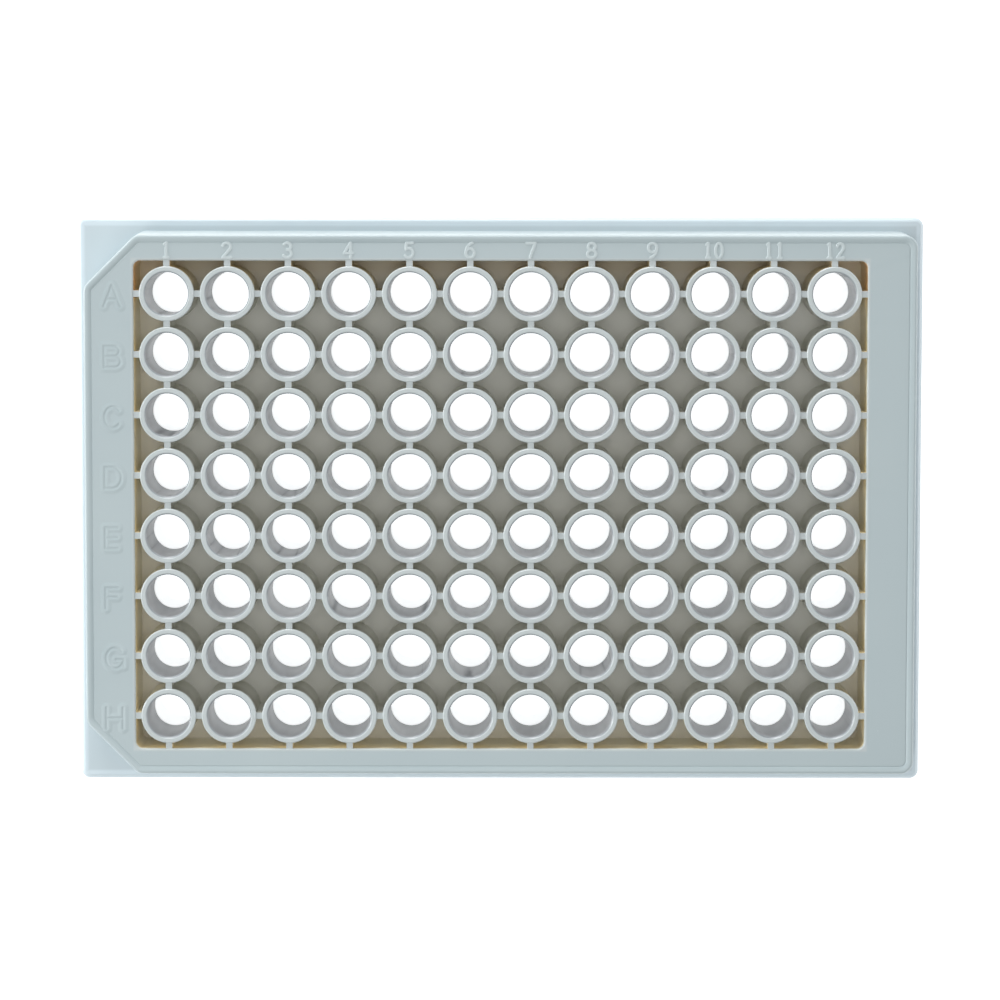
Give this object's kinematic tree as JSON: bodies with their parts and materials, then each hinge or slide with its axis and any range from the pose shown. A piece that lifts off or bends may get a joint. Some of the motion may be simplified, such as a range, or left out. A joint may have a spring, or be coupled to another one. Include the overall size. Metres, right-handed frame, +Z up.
{
  "type": "well plate",
  "caption": "Flat laboratory well plate: opaque moulded body with open chimney wells in a recessed field, cut corners on one side and a clear base.",
  "frame": {"origin": "middle of the footprint at the table plane, below the middle of the well field", "axes": "+X along the columns from 1 to 12, +Y towards row A, +Z up out of the wells"},
  "size_m": [0.1278, 0.0854, 0.0144],
  "materials": {
    "opaque_plastic": "satin",
    "clear_film": "gloss"
  },
  "bodies": {
    "root": {"plate_body": "opaque_plastic", "clear_base": "clear_film"}
  },
  "joints": []
}
